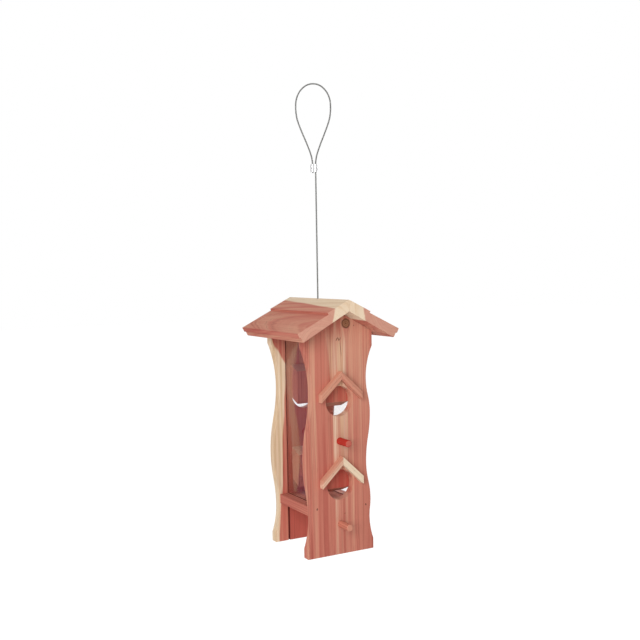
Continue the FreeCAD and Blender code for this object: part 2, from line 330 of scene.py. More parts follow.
def cedar_group(colours):
    """Solid cedar along, across and at the end of its grain. Places are in mm, with the grain along z."""
    tree = bpy.data.node_groups.new("cedar grain", "ShaderNodeTree")
    for kind, names in (("NodeSocketVector", GRAIN_VECTORS), ("NodeSocketFloat", GRAIN_NUMBERS)):
        for name in names:
            tree.interface.new_socket(name=name, in_out="INPUT", socket_type=kind)
    for name, kind in GRAIN_RESULTS.items():
        tree.interface.new_socket(name=name, in_out="OUTPUT", socket_type=kind)
    net = NodeNet(tree)
    given = net.add("NodeGroupInput").outputs
    seeded = net.vector("ADD", given["Place"], given["Seed"])
    late, radius, growth, w = year_rings(net, given, seeded)
    fibre = net.drawn_noise(seeded, FIBRES, detail=3.0, roughness=0.6)
    colour = wood_colour(net, given, seeded, radius, growth, w, colours)
    colour = net.mix(dark_share(net, given, seeded, late, fibre), colour, colours.line)
    rough = net.times(fibre, FIBRE_ROUGHNESS, ROUGHNESS)
    rough = net.times(given["End"], END_ROUGHNESS, rough)
    height = net.times(late, LATE_HEIGHT, fibre)
    net.add("NodeGroupOutput", dict(zip(GRAIN_RESULTS, (colour, rough, height))))
    return tree


def shared_cedar(colours):
    """The cedar node group, made once."""
    return bpy.data.node_groups.get("cedar grain") or cedar_group(colours)


@dataclass
class Board:
    """How one board was sawn. Places on it are in mm from its middle: across, through and along the grain.

    A stripe is its middle and half width, and its tone at the top and at the foot. A knot is its place across
    and along, and its radius. A mark is its place, half length, half thickness and tilt. A kerf is its place
    across and half width, cut into the face that inside names by its sign. A fine board has fine arrises.
    """

    name: str
    node: str
    axes: tuple
    seed: int
    pith: tuple
    ring: float = 3.2
    lean: float = 0.0
    tone: float = 0.0
    figure: float = 1.0
    red: float = 0.0
    pale_ends: float = 0.7
    sap: object = None
    stripes: tuple = ()
    knots: tuple = ()
    marks: tuple = ()
    kerfs: tuple = ()
    inside: int = 1
    fine: bool = False


# Axes of a board across, through and along its grain
UPRIGHT = ((1, 0, 0), (0, 1, 0), (0, 0, 1))
FLAT = ((1, 0, 0), (0, 0, 1), (0, -1, 0))
ENDWAYS = ((1, 0, 0), (0, 0, -1), (0, 1, 0))

# Steps that set the boards' patterns apart, in mm
SEED_STEPS = (37.3, 61.7, 113.9)

# Streaks of sapwood: where along the board they are full, and how they fade and break up
STREAK_FULL_AT = 60.0
STREAK_FULL = 0.9
STREAK_FADE = 50.0
STREAK_LINES = (0.36, 0.62, 0.28, 0.82)

# Stripes: share of the ripple, softness as a share of the half width and at most in mm, length in mm
STRIPE_RIPPLE = 0.3
STRIPE_SOFT = 0.6
STRIPE_SOFT_MOST = 3.0
STRIPE_LENGTH = 440.0

# Knots, as shares of their radius, apart from the lumps in mm
KNOT_LUMPS = (6.25, 6.25, 6.25)
KNOT_LUMPY = 0.35
KNOT_REACH = 2.6
KNOT_DRAWN = 0.55
KNOT_PINCH = 0.15
KNOT_RING = 0.36
KNOT_RING_EDGE = (-0.2, 1.0, 0.0, 0.65)
KNOT_HEART = (0.22, 0.05)
KNOT_EDGE = (1.06, 0.94)
KNOT_RIM = 0.2
KNOT_RIM_SHADE = 0.85

# Dark marks, among them painted shade round brad heads, and painted shade inside the kerfs, in mm
MARK_EDGE = (1.15, 0.7)
MARK_SHADE = 0.8
KERF_SHADE_SPREAD = 0.4
KERF_SOFT = 0.3
KERF_DEPTH = (1.0, 2.0)
KERF_SHADE = 0.75


def half_space(across, through, along, offset, soft=4.0, waver=1.0):
    """Sapwood beyond a plane of the board, with a border that wavers along the grain."""

    def mask(net, place, ripple):
        reach = net.vector("DOT_PRODUCT", place, (across, through, along))
        reach = net.times(ripple, waver, net.plus(reach, offset))
        return net.span(reach, -soft, soft)

    return mask


def outer_edge(across, low, low_flare, high, high_flare, soft):
    """Sapwood along a board's left edge, whose border runs out below one height and above another."""

    def mask(net, place, ripple):
        u, v, w = net.apart(place)
        reach = net.minus(net.plus(v, across), u)
        below = net.math("MAXIMUM", net.minus(low, w), 0.0)
        above = net.math("MAXIMUM", net.minus(w, high), 0.0)
        reach = net.times(below, -low_flare, reach)
        reach = net.times(above, -high_flare, reach)
        return net.span(net.plus(reach, ripple), -soft, soft)

    return mask


def streak(centre, half, spread, soft, drift=0.0, foot=-220.0, weak=0.55, top=400.0):
    """Sapwood stripe along the board, broken into lines, wider and stronger towards the top."""

    def mask(net, place, ripple):
        u, v, w = net.apart(place)
        width = net.times(w, spread, half)
        middle = net.times(w, drift, centre)
        off = net.math("ABSOLUTE", net.plus(net.minus(u, middle), ripple))
        inside = net.span(net.minus(width, off), -soft, soft)
        lines = net.span(net.drawn_noise(place, LINES), *STREAK_LINES)
        strength = net.span(w, foot, STREAK_FULL_AT, weak, STREAK_FULL)
        strength = net.times(strength, net.span(w, top, top - STREAK_FADE))
        return net.times(inside, net.times(lines, strength))

    return mask


def either(first, second):
    """Sapwood wherever one of two masks puts it."""

    def mask(net, place, ripple):
        return net.math("MAXIMUM", first(net, place, ripple), second(net, place, ripple))

    return mask


def stripe_tones(net, place, ripple, board):
    """Tone of a board with its wide stripes, each of which may change from the foot to the top."""
    tone = board.tone
    u, v, w = net.apart(place)
    for centre, half, top, foot in board.stripes:
        off = net.times(ripple, STRIPE_RIPPLE, net.minus(u, centre))
        soft = min(half * STRIPE_SOFT, STRIPE_SOFT_MOST)
        inside = net.span(net.minus(half, net.math("ABSOLUTE", off)), -soft, soft)
        amount = net.times(w, (top - foot) / STRIPE_LENGTH, (top + foot) / 2)
        tone = net.times(inside, amount, tone)
    return tone


def place_on_board(net, board, place):
    """Place in mm from the board's middle: across, through and along the grain."""
    low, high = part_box(board.node)
    middle = (low + high) / 2
    axes = Matrix(board.axes)
    inputs = {
        "Vector": place,
        "Scale": (1 / MM, 1 / MM, 1 / MM),
        "Rotation": axes.to_euler(),
        "Location": axes @ middle * (-1 / MM),
    }
    return net.add("ShaderNodeMapping", inputs, vector_type="POINT").outputs[0]


def bent_round_knot(net, place, across, along, size):
    """Place with the grain bent round a knot, and the distance from the knot's middle."""
    u, v, w = net.apart(place)
    aside = net.minus(u, across)
    off = net.together(aside, 0.0, net.minus(w, along))
    lumps = net.centred(net.drawn_noise(off, KNOT_LUMPS))
    lumps = net.times(lumps, size * KNOT_LUMPY)
    away = net.plus(lumps, net.vector("LENGTH", off))
    drawn = net.vector("MULTIPLY", off, (1.0, 1.0, KNOT_DRAWN))
    pinch = net.span(net.vector("LENGTH", drawn), 0.0, size * KNOT_REACH)
    pinch = net.times(pinch, 1 - KNOT_PINCH, KNOT_PINCH)
    bent = net.plus(net.times(aside, pinch), across)
    return net.together(bent, v, w), away


def with_knot(net, colour, colours, away, size):
    """A knot's rings, dark heart and dark rim over a colour."""
    rings = net.math("SINE", net.times(away, 2 * math.pi / (size * KNOT_RING)))
    wood = net.mix(net.span(rings, *KNOT_RING_EDGE), colours.knot, colours.knot_rim)
    heart = net.span(away, *[size * share for share in KNOT_HEART])
    wood = net.mix(heart, wood, colours.knot_rim)
    colour = net.mix(net.span(away, *[size * share for share in KNOT_EDGE]), colour, wood)
    from_rim = net.math("ABSOLUTE", net.minus(away, size))
    rim = net.minus(1.0, net.math("DIVIDE", from_rim, size * KNOT_RIM), clamp=True)
    return net.mix(net.times(rim, KNOT_RIM_SHADE), colour, colours.knot_rim)


def with_mark(net, colour, colours, place, across, along, reach, thick, tilt):
    """A small dark mark over a colour."""
    spot = net.vector("SUBTRACT", place, (across, 0.0, along))
    lengthways = (math.sin(tilt) / reach, 0.0, math.cos(tilt) / reach)
    sideways = (math.cos(tilt) / thick, 0.0, -math.sin(tilt) / thick)
    far = net.vector("DOT_PRODUCT", spot, lengthways)
    wide = net.vector("DOT_PRODUCT", spot, sideways)
    dark = net.span(net.vector("LENGTH", net.together(far, wide, 0.0)), *MARK_EDGE)
    return net.mix(net.times(dark, MARK_SHADE), colour, colours.knot_rim)


def with_kerf_shade(net, colour, colours, place, inside, across, half):
    """Painted shade inside a saw kerf, over a colour."""
    u, v, w = net.apart(place)
    off = net.math("ABSOLUTE", net.minus(u, across))
    shaded = net.span(off, half + KERF_SOFT, half - KERF_SOFT)
    deep = net.span(net.times(v, inside), *KERF_DEPTH)
    shaded = net.times(shaded, deep)
    return net.mix(net.times(shaded, KERF_SHADE), colour, colours.kerf)


def cedar_material(board, colours):
    """Cedar of one board."""
    material, net = new_material(board.name)
    coordinates = net.add("ShaderNodeTexCoord").outputs
    place = place_on_board(net, board, coordinates["Object"])
    knots = []
    for across, along, size in board.knots:
        place, away = bent_round_knot(net, place, across, along, size)
        knots.append((away, size))
    seeds = [board.seed * step for step in SEED_STEPS]
    ripple = net.drawn_noise(net.vector("ADD", place, seeds), RIPPLES, detail=3.0)
    ripple = net.times(net.centred(ripple), RIPPLE)
    facing = net.vector("DOT_PRODUCT", coordinates["Normal"], board.axes[2])

    inputs = {
        "Place": place,
        "Pith": (*board.pith, 0.0),
        "Seed": seeds,
        "Lean": board.lean,
        "Ring": board.ring,
        "Sapwood": board.sap(net, place, ripple) if board.sap else 0.0,
        "Tone": stripe_tones(net, place, ripple, board),
        "Figure": board.figure,
        "Red": board.red,
        "End": net.span(net.math("ABSOLUTE", facing), *END_TURN),
        "Pale ends": board.pale_ends,
    }
    grain = net.add("ShaderNodeGroup", inputs, node_tree=shared_cedar(colours)).outputs
    colour = grain["Colour"]
    for knot in knots:
        colour = with_knot(net, colour, colours, *knot)
    for mark in board.marks:
        colour = with_mark(net, colour, colours, place, *mark)
    # Painted shade inside the kerfs that the panes stand in
    for kerf in board.kerfs:
        colour = with_kerf_shade(net, colour, colours, place, board.inside, *kerf)

    inputs = {"Strength": BUMP_STRENGTH, "Distance": BUMP_DEPTH, "Height": grain["Height"]}
    bump = net.add("ShaderNodeBump", inputs)
    inputs = {
        "Base Color": colour,
        "Roughness": grain["Roughness"],
        "Normal": bump.outputs[0],
        "Specular IOR Level": WOOD_SPECULAR,
    }
    net.show(net.add("ShaderNodeBsdfPrincipled", inputs))
    return material


# Lengths and angles by which a solid's facets become one board
SAME_POINT = 0.000002
FLAT_WITHIN = math.radians(0.3)
ARRIS_FROM = math.radians(24)
SMOOTH_WITHIN = math.radians(40)


def deselect_all():
    if bpy.context.object and bpy.context.object.mode != "OBJECT":
        bpy.ops.object.mode_set(mode="OBJECT")
    bpy.ops.object.select_all(action="DESELECT")


def take(piece):
    """Makes a piece the only selected and active object."""
    deselect_all()
    piece.select_set(True)
    bpy.context.view_layer.objects.active = piece


def apply_modifier(kind, **settings):
    """Adds a modifier to the active piece and applies it."""
    bpy.ops.object.modifier_add(type=kind)
    modifier = bpy.context.object.modifiers[-1]
    for name, value in settings.items():
        setattr(modifier, name, value)
    bpy.ops.object.modifier_apply(modifier=modifier.name)


def finish_faces():
    """Smooths round faces and keeps flat ones flat."""
    bpy.ops.object.shade_smooth_by_angle(angle=SMOOTH_WITHIN)
    apply_modifier("WEIGHTED_NORMAL", keep_sharp=True)


def place_origin():
    """Puts the active piece's place into its mesh."""
    bpy.ops.object.transform_apply(location=True, rotation=True, scale=True)


def stand_for(piece, node, material):
    """The piece takes a node's place, its body and a material."""
    piece.data.materials.clear()
    piece.data.materials.append(material)
    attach(piece, BODY_OF_NODE[node])
    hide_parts(node)
    return piece


def eased_board(node, ease):
    """Copy of a solid as one board: facets merged, arrises eased."""
    piece = bpy.data.objects.new("wood_" + node, frame["nodes"][node].data.copy())
    bpy.context.scene.collection.objects.link(piece)
    take(piece)
    bpy.ops.mesh.customdata_custom_splitnormals_clear()
    bpy.ops.object.mode_set(mode="EDIT")
    bpy.ops.mesh.select_mode(type="EDGE")
    bpy.ops.mesh.select_all(action="SELECT")
    bpy.ops.mesh.remove_doubles(threshold=SAME_POINT)
    bpy.ops.mesh.dissolve_limited(angle_limit=FLAT_WITHIN)
    bpy.ops.mesh.select_all(action="DESELECT")
    bpy.ops.mesh.edges_select_sharp(sharpness=ARRIS_FROM)
    bpy.ops.mesh.bevel(offset=ease, segments=2, affect="EDGES", clamp_overlap=True)
    bpy.ops.object.mode_set(mode="OBJECT")
    finish_faces()
    return piece


def dress(board):
    """Puts an eased board of its own cedar in its solid's place."""
    sizes = bpy.context.scene.feeder_sizes
    material = cedar_material(board, bpy.context.scene.feeder_cedar)
    piece = eased_board(board.node, sizes.fine_arris if board.fine else sizes.arris)
    stand_for(piece, board.node, material)


# Figure of the front and rear panels, and painted shade at the rear's foot
FRONT_STRIPES = (
    (-53.0, 4.5, 0.16, 0.06),
    (-34.0, 12.0, 0.02, -0.03),
    (-29.0, 7.0, 0.08, 0.0),
    (12.0, 2.2, 0.16, 0.04),
    (21.5, 4.5, 0.16, 0.06),
    (27.3, 1.6, 0.30, 0.05),
    (48.0, 19.0, 0.16, -0.02),
)
FRONT_MARKS = (
    (-3.0, 167.5, 3.6, 0.9, 0.5),
    (0.6, 167.0, 4.0, 0.9, -0.35),
    (3.8, 168.0, 3.4, 0.9, 0.45),
    (4.5, 150.0, 14.0, 0.45, -0.12),
    (30.7, 190.2, 1.3, 1.1, 0.0),
    # The last three marks are dark rings round the floor brads' heads: painted shade of dents that are not
    # modelled
    (-48.1, -130.2, 2.3, 1.6, 0.3),
    (52.2, -135.1, 2.2, 1.5, -0.3),
    (8.2, -145.2, 1.5, 0.7, 0.2),
)
FRONT_SAPWOOD = either(
    streak(4.0, 15.0, 0.022, 3.5, drift=-0.045, foot=-120.0, weak=0.1, top=198.0),
    streak(-7.0, 3.0, 0.0, 2.5, weak=0.35),
)
# The rear's middle stripe grows lighter towards the top and darker towards the foot; the darkening is painted
# shade below the floor
REAR_STRIPES_AND_FOOT_SHADE = ((0.0, 40.0, 0.45, -0.30), (-53.0, 13.0, 0.02, 0.14))
REAR_SAPWOOD = outer_edge(-36.5, low=75.0, low_flare=0.052, high=116.0, high_flare=0.48, soft=1.8)


def pane_lines():
    """Where the panes stand across the feeder, and half the width of the painted shade in their kerfs, in mm.
    """
    lines = []
    for pane in PANES:
        low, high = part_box(pane)
        lines.append(((low.x + high.x) / 2 / MM, (high.x - low.x) / 2 / MM + KERF_SHADE_SPREAD))
    return lines


class FEEDER_OT_panels(bpy.types.Operator):
    """Front and rear wavy panels of planed cedar, grain upright"""

    bl_idname = "feeder.panels"
    bl_label = "Wavy panels"

    def execute(self, context):
        kerfs = pane_lines()
        front = Board(
            "front panel cedar", "front_panel", UPRIGHT, seed=1, pith=(-190.0, 60.0), ring=5.5,
            tone=-0.03, figure=0.8, sap=FRONT_SAPWOOD, stripes=FRONT_STRIPES,
            knots=((16.0, 194.5, 8.0),), marks=FRONT_MARKS, kerfs=kerfs, inside=1,
        )
        rear = Board(
            "rear panel cedar", "rear_panel", UPRIGHT, seed=2, pith=(160.0, -84.0), ring=4.5,
            tone=-0.1, red=0.18, sap=REAR_SAPWOOD, stripes=REAR_STRIPES_AND_FOOT_SHADE,
            knots=((-14.0, 96.0, 6.0),), kerfs=kerfs, inside=-1,
        )
        for board in (front, rear):
            dress(board)
        return {"FINISHED"}


class FEEDER_OT_floor_board(bpy.types.Operator):
    """Floor board between the panels, grain from front to rear"""

    bl_idname = "feeder.floor_board"
    bl_label = "Floor board"

    def execute(self, context):
        board = Board(
            "floor cedar", "floor_board", FLAT, seed=3, pith=(30.0, -70.0), ring=3.6, tone=-0.03, red=0.05
        )
        dress(board)
        return {"FINISHED"}


ROOF_STRIPES = ((-12.0, 4.0, -0.12, -0.12), (60.0, 5.0, -0.6, -0.6))


class FEEDER_OT_roof_boards(bpy.types.Operator):
    """Roof boards milled as lapped courses, sapwood at the ridge"""

    bl_idname = "feeder.roof_boards"
    bl_label = "Roof boards"

    def execute(self, context):
        for seed, (hand, way) in enumerate(HANDS.items(), start=4):
            down = Vector((way * math.cos(ROOF_SLOPE), 0, -math.sin(ROOF_SLOPE)))
            along = Vector((0, 1, 0))
            sapwood = half_space(-1.0, 0.84 * way, -0.088, offset=-33.7, soft=2.0, waver=0.4)
            board = Board(
                "roof cedar " + hand, "roof_board_" + hand, (down, along.cross(down), along), seed,
                pith=(28.0, -46.0), ring=4.2, lean=0.12, tone=0.08, figure=0.7, red=0.03, sap=sapwood,
                stripes=ROOF_STRIPES,
            )
            dress(board)
        return {"FINISHED"}


# The lower gables have one strip of sapwood all over and one that is striped with it
STRIP_SAPWOOD = {
    ("lower", "right"): half_space(0.0, 0.0, 0.0, offset=9.0),
    ("lower", "left"): streak(0.0, 2.4, 0.0, 1.4),
}
# The left strips are paler and the right ones darker: painted light and shade on the same wood
STRIP_TONE_AND_PAINTED_LIGHT = {"left": 0.23, "right": 0.11}


class FEEDER_OT_gable_strips(bpy.types.Operator):
    """Mitred strips over the feeding holes, grain down the slope"""

    bl_idname = "feeder.gable_strips"
    bl_label = "Gable strips"

    def execute(self, context):
        for seed, (side, station, hand) in enumerate(product(SIDES, STATIONS, HANDS), start=10):
            which = "%s_%s_%s" % (side, station, hand)
            along = Vector((HANDS[hand] * math.cos(GABLE_SLOPE), 0, -math.sin(GABLE_SLOPE)))
            through = Vector((0, 1, 0))
            board = Board(
                "strip cedar " + which, "gable_" + which, (through.cross(along), through, along), seed,
                pith=(30.0, 40.0), ring=2.6, tone=STRIP_TONE_AND_PAINTED_LIGHT[hand], figure=0.8, red=0.04,
                sap=STRIP_SAPWOOD.get((station, hand)),
            )
            dress(board)
        return {"FINISHED"}


PEG_TONE_AND_RED = {"upper": (-0.1, 0.94), "lower": (0.25, 0.34)}


class FEEDER_OT_perches(bpy.types.Operator):
    """Turned pegs under the feeding holes"""

    bl_idname = "feeder.perches"
    bl_label = "Perches"

    def execute(self, context):
        for seed, (side, station) in enumerate(product(SIDES, STATIONS), start=20):
            which = "%s_%s" % (side, station)
            tone, red = PEG_TONE_AND_RED[station]
            board = Board(
                "peg cedar " + which, "perch_" + which, ENDWAYS, seed, pith=(3.0, 18.0), ring=1.9, tone=tone,
                figure=1.3, red=red, pale_ends=0.1, fine=True,
            )
            dress(board)
        return {"FINISHED"}


BAFFLE_TONE_AND_RED = {
    ("front", "upper"): (0.02, 0.30),
    ("front", "lower"): (-0.08, 0.40),
    # The rear baffles are paler than the front ones: partly paler wood, partly painted light inside the
    # feeder
    ("rear", "upper"): (0.55, 0.40),
    ("rear", "lower"): (0.50, 0.44),
}


class FEEDER_OT_baffles(bpy.types.Operator):
    """Seed baffles behind the feeding holes, grain upright"""

    bl_idname = "feeder.baffles"
    bl_label = "Seed baffles"

    def execute(self, context):
        for seed, (side, station) in enumerate(product(SIDES, STATIONS), start=30):
            which = "%s_%s" % (side, station)
            tone, red = BAFFLE_TONE_AND_RED[side, station]
            board = Board(
                "baffle cedar " + which, "baffle_" + which, UPRIGHT, seed, pith=(-40.0, 30.0), tone=tone,
                red=red,
            )
            dress(board)
        return {"FINISHED"}


class FEEDER_OT_hanger_rod(bpy.types.Operator):
    """Dowel under the ridge that the rope passes through"""

    bl_idname = "feeder.hanger_rod"
    bl_label = "Hanger rod"

    def execute(self, context):
        board = Board("rod cedar", "hanger_rod", ENDWAYS, seed=40, pith=(4.0, 20.0), ring=2.0, fine=True)
        dress(board)
        return {"FINISHED"}


# Acrylic sheet: its colours, the painted shade along its foot where it stands on the floor board, in metres,
# and its smears
ACRYLIC_CLEAR = (0.99, 0.99, 0.99)
ACRYLIC_FOOT_SHADE = (0.08, 0.02, 0.015)
ACRYLIC_FOOT_SHADE_EDGE = (0.0006, 0.0012)
ACRYLIC_IOR = 1.49
SMEARS_PER_METRE = (60.0, 60.0, 9.0)
SMEAR_ROUGHNESS = (0.35, 0.8, 0.02, 0.09)


def acrylic_material():
    """Clear sheet with faint smears, and painted shade along the sawn edge that it stands on."""
    material, net = new_material("clear acrylic")
    place = net.add("ShaderNodeTexCoord").outputs["Object"]
    smear = net.noise(net.vector("MULTIPLY", place, SMEARS_PER_METRE), detail=3.0)
    rise = net.minus(net.apart(place)[2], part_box(PANES[0])[0].z)
    # Painted shade along the foot, where the pane meets the floor board
    colour = net.mix(net.span(rise, *ACRYLIC_FOOT_SHADE_EDGE), ACRYLIC_FOOT_SHADE, ACRYLIC_CLEAR)
    inputs = {
        "Base Color": colour,
        "Roughness": net.span(smear, *SMEAR_ROUGHNESS),
        "Transmission Weight": 1.0,
        "IOR": ACRYLIC_IOR,
    }
    net.show(net.add("ShaderNodeBsdfPrincipled", inputs))
    return material


class FEEDER_OT_panes(bpy.types.Operator):
    """Clear panes in the kerfs"""

    bl_idname = "feeder.panes"
    bl_label = "Clear panes"

    def execute(self, context):
        material = acrylic_material()
        for node in PANES:
            stand_for(eased_board(node, context.scene.feeder_sizes.fine_arris), node, material)
        return {"FINISHED"}


METAL_CLOUD_EDGE = (0.3, 0.7)


def metal_material(name, dark, light, roughness, clouds_per_metre):
    """Bare metal with a fine uneven finish."""
    material, net = new_material(name)
    place = net.add("ShaderNodeTexCoord").outputs["Object"]
    cloud = net.noise(net.vector("MULTIPLY", place, clouds_per_metre), detail=4.0, roughness=0.6)
    inputs = {
        "Base Color": net.mix(net.span(cloud, *METAL_CLOUD_EDGE), dark, light),
        "Roughness": net.span(cloud, *METAL_CLOUD_EDGE, *roughness),
        "Metallic": 1.0,
    }
    net.show(net.add("ShaderNodeBsdfPrincipled", inputs))
    return material


# Wire rope along the same route as in the solids, in a plane turned against the panels
ROPE_D = 0.0028
ROPE_FOOT_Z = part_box("stop_ferrule")[0].z
RUNS_APART = 0.0052
LOOP_TURN = math.radians(29.0)
LOOP_HEIGHT = 0.144
FERRULE_TOP_Z = ROPE_D / 2 - LOOP_HEIGHT
FERRULE_LENGTH = 0.014
TAIL = 0.0015

# One side of the loop: distances from its middle line, and heights above the ferrule's top
LOOP_SIDE = (
    (RUNS_APART / 2, -0.0146),
    (RUNS_APART / 2, 0.008),
    (0.0092, 0.0296),
    (0.0248, 0.0666),
    (0.0317, 0.0891),
    (0.0311, 0.1217),
    (0.0127, LOOP_HEIGHT),
)
SPLINE_STEPS = 24

# The rope's strands, and the crimps pressed into its ferrules
STRAND_R = ROPE_D / 6
STRAND_CORNERS = 8
STRAND_STEP = 0.0011
STRAND_SMOOTH_WITHIN = math.radians(62)
CRIMP_SHARES = (0.30, 0.70)
CRIMP_LEVELS = (-0.0020, -0.0013, 0.0013, 0.0020)
CRIMP_REACH = 0.0015
CRIMP_SCALE = (1.02, 0.84, 1.0)


def loop_point(across, z):
    return Vector((across * math.cos(LOOP_TURN), -across * math.sin(LOOP_TURN), z))


def rope_route():
    """Points that the rope's line is drawn by, from its foot round the loop to its tail."""
    middle = -RUNS_APART / 2
    route = [loop_point(0, ROPE_FOOT_Z)]
    route += [loop_point(middle + across, FERRULE_TOP_Z + rise) for across, rise in LOOP_SIDE]
    route += [loop_point(middle - across, FERRULE_TOP_Z + rise) for across, rise in reversed(LOOP_SIDE)]
    route.append(loop_point(-RUNS_APART, FERRULE_TOP_Z - FERRULE_LENGTH - TAIL))
    return route


def rope_line():
    """Points along the rope's smooth line, read from a spline through its route."""
    route = rope_route()
    curve = bpy.data.curves.new("rope_line", "CURVE")
    curve.dimensions = "3D"
    spline = curve.splines.new("NURBS")
    spline.points.add(len(route) - 1)
    for point, place in zip(spline.points, route):
        point.co = (*place, 1.0)
    spline.order_u = 3
    spline.use_endpoint_u = True
    spline.resolution_u = SPLINE_STEPS
    line = bpy.data.objects.new("rope_line", curve)
    bpy.context.scene.collection.objects.link(line)
    bpy.context.view_layer.update()
    mesh = bpy.data.meshes.new_from_object(line.evaluated_get(bpy.context.evaluated_depsgraph_get()))
    points = [vertex.co.copy() for vertex in mesh.vertices]
    bpy.data.objects.remove(line)
    bpy.data.curves.remove(curve)
    bpy.data.meshes.remove(mesh)
    return points


def even_points(points, step):
    """Points at even distances along a line, with the way that the line runs there."""
    far = [0.0]
    for before, after in zip(points, points[1:]):
        far.append(far[-1] + (after - before).length)
    count = round(far[-1] / step)
    evened = []
    index = 0
    for number in range(count + 1):
        wanted = far[-1] * number / count
        while index < len(far) - 2 and far[index + 1] < wanted:
            index += 1
        share = (wanted - far[index]) / (far[index + 1] - far[index])
        run = points[index + 1] - points[index]
        evened.append((points[index] + run * share, run.normalized(), wanted))
    return evened


def stranded_rope(points, strands, lay):
    """Mesh of the rope's strands, laid round a straight core strand."""
    plane = Vector((math.sin(LOOP_TURN), math.cos(LOOP_TURN), 0))
    places = even_points(points, STRAND_STEP)
    corners = range(STRAND_CORNERS)
    vertices = []
    faces = []
    for strand in range(strands + 1):
        off_core = 0.0 if strand == strands else ROPE_D / 2 - STRAND_R
        for number, (middle, way, far) in enumerate(places):
            side = plane.cross(way).normalized()
            turn = 2 * math.pi * (strand / strands + far / lay)
            out = side * math.cos(turn) + plane * math.sin(turn)
            across = way.cross(out)
            centre = middle + out * off_core
            first = len(vertices)
            before = first - STRAND_CORNERS
            for corner in corners:
                angle = 2 * math.pi * corner / STRAND_CORNERS
                vertices.append(centre + (out * math.cos(angle) + across * math.sin(angle)) * STRAND_R)
            if number:
                for corner in corners:
                    follow = (corner + 1) % STRAND_CORNERS
                    faces.append((before + corner, before + follow, first + follow, first + corner))
            if number in (0, len(places) - 1):
                ring = [first + corner for corner in corners]
                faces.append(ring if number else ring[::-1])
    mesh = bpy.data.meshes.new("wire_rope")
    mesh.from_pydata(vertices, [], faces)
    return mesh


def crimped(piece):
    """Presses two flats into both sides of a ferrule, as the crimping dies do."""
    take(piece)
    piece.rotation_euler.z = LOOP_TURN
    place_origin()
    low = min(vertex.co.z for vertex in piece.data.vertices)
    high = max(vertex.co.z for vertex in piece.data.vertices)
    for share in CRIMP_SHARES:
        middle = low + (high - low) * share
        bpy.ops.object.mode_set(mode="EDIT")
        for level in CRIMP_LEVELS:
            bpy.ops.mesh.select_all(action="SELECT")
            bpy.ops.mesh.bisect(plane_co=(0, 0, middle + level), plane_no=(0, 0, 1))
        bpy.ops.mesh.select_mode(type="VERT")
        bpy.ops.mesh.select_all(action="DESELECT")
        bpy.ops.object.mode_set(mode="OBJECT")
        for vertex in piece.data.vertices:
            vertex.select = abs(vertex.co.z - middle) < CRIMP_REACH
        bpy.ops.object.mode_set(mode="EDIT")
        bpy.ops.transform.resize(value=CRIMP_SCALE, center_override=(0, 0, middle))
        bpy.ops.object.mode_set(mode="OBJECT")
    piece.rotation_euler.z = -LOOP_TURN
    place_origin()
    finish_faces()
    return piece


class FEEDER_OT_hanger_cable(bpy.types.Operator):
    """Stranded wire rope with its closed loop, and the crimped ferrules on it"""

    bl_idname = "feeder.hanger_cable"
    bl_label = "Hanging rope"

    def execute(self, context):
        sizes = context.scene.feeder_sizes
        points = rope_line()
        rope = bpy.data.objects.new("wire_rope", stranded_rope(points, sizes.strands, sizes.strand_lay))
        context.scene.collection.objects.link(rope)
        take(rope)
        bpy.ops.object.mode_set(mode="EDIT")
        bpy.ops.mesh.select_all(action="SELECT")
        bpy.ops.mesh.normals_make_consistent(inside=False)
        bpy.ops.object.mode_set(mode="OBJECT")
        bpy.ops.object.shade_smooth_by_angle(angle=STRAND_SMOOTH_WITHIN)
        steel = metal_material(
            "rope steel", (0.17, 0.17, 0.165), (0.31, 0.31, 0.30), (0.40, 0.55), (900, 900, 300)
        )
        stand_for(rope, "hanger_cable", steel)
        aluminium = metal_material(
            "ferrule aluminium", (0.46, 0.46, 0.47), (0.62, 0.62, 0.62), (0.26, 0.42), (700, 700, 240)
        )
        for node in FERRULES:
            ferrule = crimped(eased_board(node, sizes.ferrule_arris))
            stand_for(ferrule, node, aluminium)
        return {"FINISHED"}


# Brads on the front, in metres from the middle and above the feet; the rear mirrors them
FLOOR_BRADS = ((-0.0481, 0.0873), (0.0522, 0.0824))
GABLE_BRAD_X = 0.022
BAFFLE_BRAD_X = 0.016
BAFFLE_BRAD_DROP = 0.023
BRAD_HEAD = (0.0026, 0.0012, 0.0018)
BRAD_ROUND = 0.0003
BRAD_RIM = 0.0002
BRAD_DISH = 0.00012
BRAD_PROUD = 0.00005
BRAD_SMOOTH_WITHIN = math.radians(50)
SAME_PLANE = 1e-6


def brad_pattern():
    """One brad's head at the origin, facing the front: a dished oblong with rounded corners."""
    deselect_all()
    bpy.ops.mesh.primitive_cube_add(size=1.0)
    head = bpy.context.object
    head.scale = BRAD_HEAD
    place_origin()
    bpy.ops.object.mode_set(mode="EDIT")
    bpy.ops.mesh.select_mode(type="FACE")
    bpy.ops.mesh.select_all(action="SELECT")
    bpy.ops.mesh.bevel(offset=BRAD_ROUND, segments=2, affect="EDGES")
    bpy.ops.mesh.select_all(action="DESELECT")
    bpy.ops.object.mode_set(mode="OBJECT")
    front = min(face.center.y for face in head.data.polygons)
    for face in head.data.polygons:
        face.select = face.center.y < front + SAME_PLANE
    bpy.ops.object.mode_set(mode="EDIT")
    bpy.ops.mesh.inset(thickness=BRAD_RIM)
    bpy.ops.transform.translate(value=(0, BRAD_DISH, 0))
    bpy.ops.object.mode_set(mode="OBJECT")
    return head


